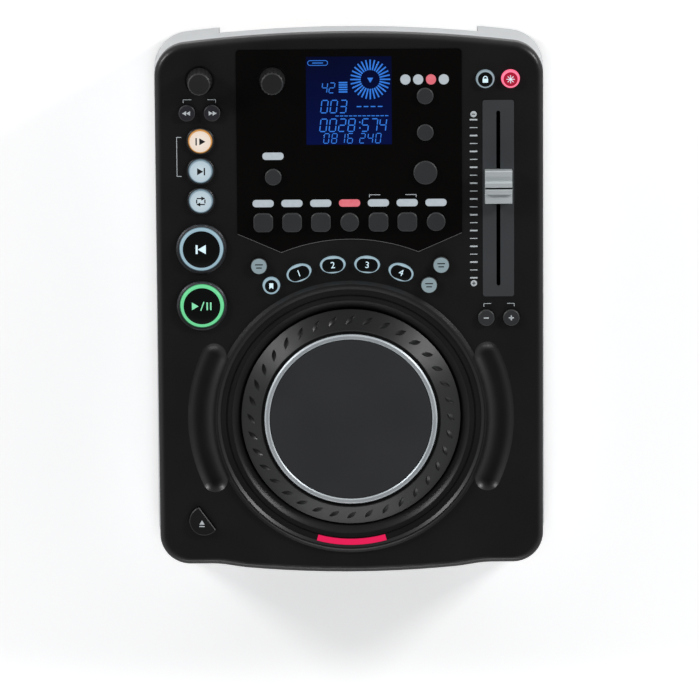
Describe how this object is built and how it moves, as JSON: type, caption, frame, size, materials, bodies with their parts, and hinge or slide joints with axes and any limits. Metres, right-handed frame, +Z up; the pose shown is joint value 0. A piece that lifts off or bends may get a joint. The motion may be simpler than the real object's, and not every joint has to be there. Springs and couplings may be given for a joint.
{
  "type": "tabletop dj cd player",
  "caption": "Tabletop disc player for DJs: sloping panel with jog wheel, pitch fader, cue and play buttons, display, knobs and a front disc slot.",
  "frame": {"origin": "on the table, under the middle of the footprint", "axes": "+X to the right as the user faces the panel, +Y from the user to the rear, +Z up"},
  "size_m": [0.221, 0.3102, 0.0997],
  "materials": {
    "cover_black": "satin moulded",
    "overlay_gloss": "gloss",
    "display_blue": "gloss",
    "lit_window": "backlit",
    "smoked_metal": "polished",
    "fader_grey": "satin",
    "plated_steel": "plated",
    "circuit_board": "satin",
    "housing_silver": "satin",
    "bezel_black": "gloss",
    "base_steel": "powder coated",
    "foot_rubber": "matte",
    "screw_steel": "blackened",
    "jack_brass": "plated",
    "inlet_black": "satin",
    "wheel_black": "satin",
    "trim_chrome": "polished",
    "plate_grey": "satin",
    "code_disc": "printed",
    "fader_silver": "satin",
    "knob_black": "satin",
    "hub_black": "satin",
    "sled_grey": "satin",
    "rocker_black": "gloss",
    "button_grey": "satin",
    "button_pad": "satin",
    "lit_white": "backlit",
    "lit_amber": "backlit",
    "lit_green": "backlit",
    "lit_red": "backlit"
  },
  "bodies": {
    "case": {"top_cover": "cover_black", "control_overlay": "overlay_gloss", "display_module": "display_blue", "light_guides": "lit_window", "button_collars": "smoked_metal", "fader_plate": "fader_grey", "slide_potentiometer": "plated_steel", "jog_spindle": "plated_steel", "control_board": "circuit_board", "main_board": "circuit_board", "lower_housing": "housing_silver", "slot_bezel": "bezel_black", "bottom_plate": "base_steel", "rubber_feet": "foot_rubber", "case_screws": "screw_steel", "drive_chassis": "plated_steel", "rear_panel": "base_steel", "output_jacks": "jack_brass", "power_inlet": "inlet_black"},
    "jog_wheel": {"jog_ring": "wheel_black", "jog_trim": "trim_chrome", "jog_plate": "plate_grey", "encoder_disc": "code_disc"},
    "pitch_fader": {"fader_cap": "fader_silver"},
    "track_dial": {"track_knob": "knob_black"},
    "folder_dial": {"folder_knob": "knob_black"},
    "turntable": {"disc_spindle": "hub_black"},
    "sled": {"laser_sled": "sled_grey"},
    "power_switch": {"power_rocker": "rocker_black"},
    "search_back_key": {"search_back_button": "button_grey"},
    "search_forward_key": {"search_forward_button": "button_grey"},
    "loop_in_key": {"loop_in_button": "lit_amber"},
    "loop_out_key": {"loop_out_button": "lit_white"},
    "reloop_key": {"reloop_button": "lit_white"},
    "cue_key": {"cue_button": "lit_white"},
    "play_pause_key": {"play_pause_button": "lit_green"},
    "scratch_key": {"scratch_button": "button_grey"},
    "pitch_range_key": {"pitch_range_button": "button_grey"},
    "bpm_key": {"bpm_button": "button_grey"},
    "tap_key": {"tap_button": "button_grey"},
    "cue_select_key": {"cue_select_button": "button_grey"},
    "memory_key": {"memory_button": "button_grey"},
    "hot_cue_1_key": {"hot_cue_1_button": "button_pad"},
    "hot_cue_2_key": {"hot_cue_2_button": "button_pad"},
    "hot_cue_3_key": {"hot_cue_3_button": "button_pad"},
    "hot_cue_4_key": {"hot_cue_4_button": "button_pad"},
    "time_key": {"time_button": "button_grey"},
    "single_key": {"single_button": "button_grey"},
    "tempo_lock_key": {"tempo_lock_button": "button_grey"},
    "pitch_on_key": {"pitch_on_button": "lit_red"},
    "bend_minus_key": {"bend_minus_button": "button_grey"},
    "bend_plus_key": {"bend_plus_button": "button_grey"},
    "eject_key": {"eject_button": "button_grey"},
    "echo_key": {"echo_button": "button_grey"},
    "flanger_key": {"flanger_button": "button_grey"},
    "filter_key": {"filter_button": "button_grey"},
    "brake_key": {"brake_button": "button_grey"},
    "parameter_x_key": {"parameter_x_button": "button_grey"},
    "parameter_y_key": {"parameter_y_button": "button_grey"},
    "hold_key": {"hold_button": "button_grey"}
  },
  "joints": [
    {"name": "search_back_press", "type": "slide", "parent": "case", "child": "search_back_key", "axis": [0, 0.0872, -0.9962], "range_m": [0, 0.0012], "stiffness_N_per_m": 400},
    {"name": "search_forward_press", "type": "slide", "parent": "case", "child": "search_forward_key", "axis": [0, 0.0872, -0.9962], "range_m": [0, 0.0012], "stiffness_N_per_m": 400},
    {"name": "loop_in_press", "type": "slide", "parent": "case", "child": "loop_in_key", "axis": [0, 0.0872, -0.9962], "range_m": [0, 0.0012], "stiffness_N_per_m": 400},
    {"name": "loop_out_press", "type": "slide", "parent": "case", "child": "loop_out_key", "axis": [0, 0.0872, -0.9962], "range_m": [0, 0.0012], "stiffness_N_per_m": 400},
    {"name": "reloop_press", "type": "slide", "parent": "case", "child": "reloop_key", "axis": [0, 0.0872, -0.9962], "range_m": [0, 0.0012], "stiffness_N_per_m": 400},
    {"name": "cue_press", "type": "slide", "parent": "case", "child": "cue_key", "axis": [0, 0.0872, -0.9962], "range_m": [0, 0.0012], "stiffness_N_per_m": 400},
    {"name": "play_pause_press", "type": "slide", "parent": "case", "child": "play_pause_key", "axis": [0, 0.0872, -0.9962], "range_m": [0, 0.0012], "stiffness_N_per_m": 400},
    {"name": "scratch_press", "type": "slide", "parent": "case", "child": "scratch_key", "axis": [0, 0.0872, -0.9962], "range_m": [0, 0.0012], "stiffness_N_per_m": 400},
    {"name": "pitch_range_press", "type": "slide", "parent": "case", "child": "pitch_range_key", "axis": [0, 0.0872, -0.9962], "range_m": [0, 0.0012], "stiffness_N_per_m": 400},
    {"name": "bpm_press", "type": "slide", "parent": "case", "child": "bpm_key", "axis": [0, 0.0872, -0.9962], "range_m": [0, 0.0012], "stiffness_N_per_m": 400},
    {"name": "tap_press", "type": "slide", "parent": "case", "child": "tap_key", "axis": [0, 0.0872, -0.9962], "range_m": [0, 0.0012], "stiffness_N_per_m": 400},
    {"name": "cue_select_press", "type": "slide", "parent": "case", "child": "cue_select_key", "axis": [0, 0.0872, -0.9962], "range_m": [0, 0.0012], "stiffness_N_per_m": 400},
    {"name": "memory_press", "type": "slide", "parent": "case", "child": "memory_key", "axis": [0, 0.0872, -0.9962], "range_m": [0, 0.0012], "stiffness_N_per_m": 400},
    {"name": "hot_cue_1_press", "type": "slide", "parent": "case", "child": "hot_cue_1_key", "axis": [0, 0.0872, -0.9962], "range_m": [0, 0.0012], "stiffness_N_per_m": 400},
    {"name": "hot_cue_2_press", "type": "slide", "parent": "case", "child": "hot_cue_2_key", "axis": [0, 0.0872, -0.9962], "range_m": [0, 0.0012], "stiffness_N_per_m": 400},
    {"name": "hot_cue_3_press", "type": "slide", "parent": "case", "child": "hot_cue_3_key", "axis": [0, 0.0872, -0.9962], "range_m": [0, 0.0012], "stiffness_N_per_m": 400},
    {"name": "hot_cue_4_press", "type": "slide", "parent": "case", "child": "hot_cue_4_key", "axis": [0, 0.0872, -0.9962], "range_m": [0, 0.0012], "stiffness_N_per_m": 400},
    {"name": "time_press", "type": "slide", "parent": "case", "child": "time_key", "axis": [0, 0.0872, -0.9962], "range_m": [0, 0.0012], "stiffness_N_per_m": 400},
    {"name": "single_press", "type": "slide", "parent": "case", "child": "single_key", "axis": [0, 0.0872, -0.9962], "range_m": [0, 0.0012], "stiffness_N_per_m": 400},
    {"name": "tempo_lock_press", "type": "slide", "parent": "case", "child": "tempo_lock_key", "axis": [0, 0.0872, -0.9962], "range_m": [0, 0.0012], "stiffness_N_per_m": 400},
    {"name": "pitch_on_press", "type": "slide", "parent": "case", "child": "pitch_on_key", "axis": [0, 0.0872, -0.9962], "range_m": [0, 0.0012], "stiffness_N_per_m": 400},
    {"name": "bend_minus_press", "type": "slide", "parent": "case", "child": "bend_minus_key", "axis": [0, 0.0872, -0.9962], "range_m": [0, 0.0012], "stiffness_N_per_m": 400},
    {"name": "bend_plus_press", "type": "slide", "parent": "case", "child": "bend_plus_key", "axis": [0, 0.0872, -0.9962], "range_m": [0, 0.0012], "stiffness_N_per_m": 400},
    {"name": "eject_press", "type": "slide", "parent": "case", "child": "eject_key", "axis": [0, 0.0872, -0.9962], "range_m": [0, 0.0012], "stiffness_N_per_m": 400},
    {"name": "echo_press", "type": "slide", "parent": "case", "child": "echo_key", "axis": [0, 0.0872, -0.9962], "range_m": [0, 0.0012], "stiffness_N_per_m": 400},
    {"name": "flanger_press", "type": "slide", "parent": "case", "child": "flanger_key", "axis": [0, 0.0872, -0.9962], "range_m": [0, 0.0012], "stiffness_N_per_m": 400},
    {"name": "filter_press", "type": "slide", "parent": "case", "child": "filter_key", "axis": [0, 0.0872, -0.9962], "range_m": [0, 0.0012], "stiffness_N_per_m": 400},
    {"name": "brake_press", "type": "slide", "parent": "case", "child": "brake_key", "axis": [0, 0.0872, -0.9962], "range_m": [0, 0.0012], "stiffness_N_per_m": 400},
    {"name": "parameter_x_press", "type": "slide", "parent": "case", "child": "parameter_x_key", "axis": [0, 0.0872, -0.9962], "range_m": [0, 0.0012], "stiffness_N_per_m": 400},
    {"name": "parameter_y_press", "type": "slide", "parent": "case", "child": "parameter_y_key", "axis": [0, 0.0872, -0.9962], "range_m": [0, 0.0012], "stiffness_N_per_m": 400},
    {"name": "hold_press", "type": "slide", "parent": "case", "child": "hold_key", "axis": [0, 0.0872, -0.9962], "range_m": [0, 0.0012], "stiffness_N_per_m": 400},
    {"name": "jog_spin", "type": "hinge", "parent": "case", "child": "jog_wheel", "pos_m": [0, -0.0627, 0.06825], "axis": [0, -0.0872, 0.9962], "continuous": true},
    {"name": "track_turn", "type": "hinge", "parent": "case", "child": "track_dial", "pos_m": [-0.0828, 0.12797, 0.08493], "axis": [0, -0.0872, 0.9962], "continuous": true},
    {"name": "folder_turn", "type": "hinge", "parent": "case", "child": "folder_dial", "pos_m": [-0.0424, 0.12797, 0.08493], "axis": [0, -0.0872, 0.9962], "continuous": true},
    {"name": "fader_slide", "type": "slide", "parent": "case", "child": "pitch_fader", "axis": [0, 0.9962, 0.0872], "range_m": [-0.0525, 0.0375]},
    {"name": "turntable_spin", "type": "hinge", "parent": "case", "child": "turntable", "pos_m": [0, -0.07385, 0.015], "axis": [0, 0, 1], "continuous": true},
    {"name": "sled_slide", "type": "slide", "parent": "case", "child": "sled", "axis": [0, 1, 0], "range_m": [0, 0.034]},
    {"name": "power_rock", "type": "hinge", "parent": "case", "child": "power_switch", "pos_m": [0.027, 0.14195, 0.02], "axis": [1, 0, 0], "range_deg": [0, 20]}
  ]
}
